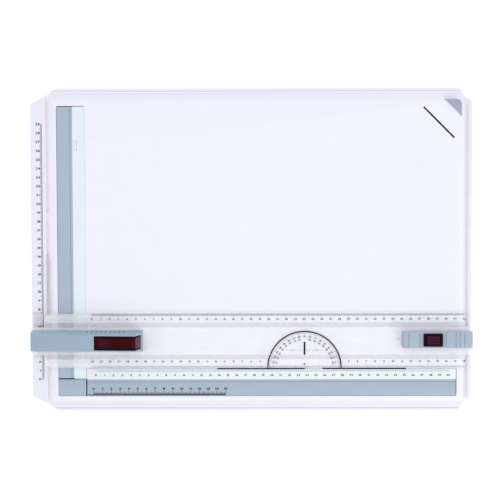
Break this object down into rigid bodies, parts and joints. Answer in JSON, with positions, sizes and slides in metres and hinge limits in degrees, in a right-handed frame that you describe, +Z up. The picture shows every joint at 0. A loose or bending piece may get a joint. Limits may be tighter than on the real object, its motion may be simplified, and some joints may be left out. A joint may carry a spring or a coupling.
{
  "type": "portable drawing board",
  "caption": "Flat white drawing board with two sprung paper clamps, fold-out legs, a corner clip and a clear sliding ruler with a braked head at each end",
  "frame": {"origin": "middle of the board's footprint, on the table surface under the feet", "axes": "+X along the long side to the right, +Y away from the person drawing, +Z up out of the drawing deck"},
  "size_m": [0.5, 0.366, 0.0474],
  "materials": {
    "white_plastic": "satin moulded white",
    "grey_plastic": "satin moulded blue-grey",
    "clear_plastic": "clear polished acrylic",
    "maroon_plastic": "gloss dark maroon",
    "black_plastic": "satin black",
    "rubber": "matt dark grey",
    "steel": "bright zinc"
  },
  "bodies": {
    "board": {"top_shell": "white_plastic", "bottom_cover": "white_plastic", "cover_screw_1": "steel", "cover_screw_2": "steel", "cover_screw_3": "steel", "cover_screw_4": "steel", "cover_screw_5": "steel", "cover_screw_6": "steel", "cover_screw_7": "steel", "cover_screw_8": "steel", "foot_1": "rubber", "foot_2": "rubber", "foot_3": "rubber", "foot_4": "rubber", "corner_block": "grey_plastic", "leg_pin_left": "steel", "leg_pin_right": "steel", "side_clamp_pin_1": "steel", "side_clamp_pin_2": "steel", "bottom_clamp_pin_1": "steel", "bottom_clamp_pin_2": "steel", "side_clamp_spring": "steel", "bottom_clamp_spring": "steel"},
    "side_clamp": {"side_clamp_rail": "grey_plastic", "side_clamp_lip": "clear_plastic"},
    "bottom_clamp": {"bottom_clamp_rail": "grey_plastic", "bottom_clamp_lip": "clear_plastic"},
    "left_leg": {"leg_left": "white_plastic", "leg_tip_left": "rubber"},
    "right_leg": {"leg_right": "white_plastic", "leg_tip_right": "rubber"},
    "clip": {"corner_clip": "grey_plastic"},
    "ruler": {"ruler_blade": "clear_plastic", "guide_rail": "clear_plastic", "left_head": "grey_plastic", "left_bezel": "black_plastic", "left_button_pin": "steel", "left_button_spring": "steel", "right_runner": "clear_plastic", "right_head": "grey_plastic", "right_button_spring": "steel", "left_head_screw_1": "steel", "left_head_screw_2": "steel", "right_head_screw_1": "steel", "right_head_screw_2": "steel"},
    "left_lock": {"left_button": "maroon_plastic", "left_brake_lever": "black_plastic", "left_brake_shoe": "rubber"},
    "right_lock": {"right_button": "maroon_plastic", "right_brake_shoe": "rubber"}
  },
  "joints": [
    {"name": "ruler_slide", "type": "slide", "parent": "board", "child": "ruler", "axis": [0, 1, 0], "range_m": [-0.045, 0.2145]},
    {"name": "left_button_press", "type": "hinge", "parent": "ruler", "child": "left_lock", "pos_m": [-0.175, -0.1016, 0.038], "axis": [0, 1, 0], "range_deg": [0, 2], "stiffness_Nm_per_rad": 1, "springref_deg": -1.72, "deforming": ["left_button_spring"]},
    {"name": "right_button_press", "type": "slide", "parent": "ruler", "child": "right_lock", "axis": [0, 0, -1], "range_m": [0, 0.002], "stiffness_N_per_m": 500, "springref_m": -0.002, "deforming": ["right_button_spring"]},
    {"name": "side_clamp_tilt", "type": "hinge", "parent": "board", "child": "side_clamp", "pos_m": [-0.21015, 0, 0.016], "axis": [0, -1, 0], "range_deg": [0, 3], "stiffness_Nm_per_rad": 1.5, "springref_deg": -2.86},
    {"name": "bottom_clamp_tilt", "type": "hinge", "parent": "board", "child": "bottom_clamp", "pos_m": [0, -0.1556, 0.016], "axis": [1, 0, 0], "range_deg": [0, 3], "stiffness_Nm_per_rad": 1.5, "springref_deg": -2.86},
    {"name": "corner_clip_lift", "type": "slide", "parent": "board", "child": "clip", "axis": [0, 0, 1], "range_m": [0, 0.012]},
    {"name": "left_leg_fold", "type": "hinge", "parent": "board", "child": "left_leg", "pos_m": [-0.15, 0.14, 0.0065], "axis": [1, 0, 0], "range_deg": [0, 95]},
    {"name": "right_leg_fold", "type": "hinge", "parent": "board", "child": "right_leg", "pos_m": [0.15, 0.14, 0.0065], "axis": [1, 0, 0], "range_deg": [0, 95]}
  ]
}
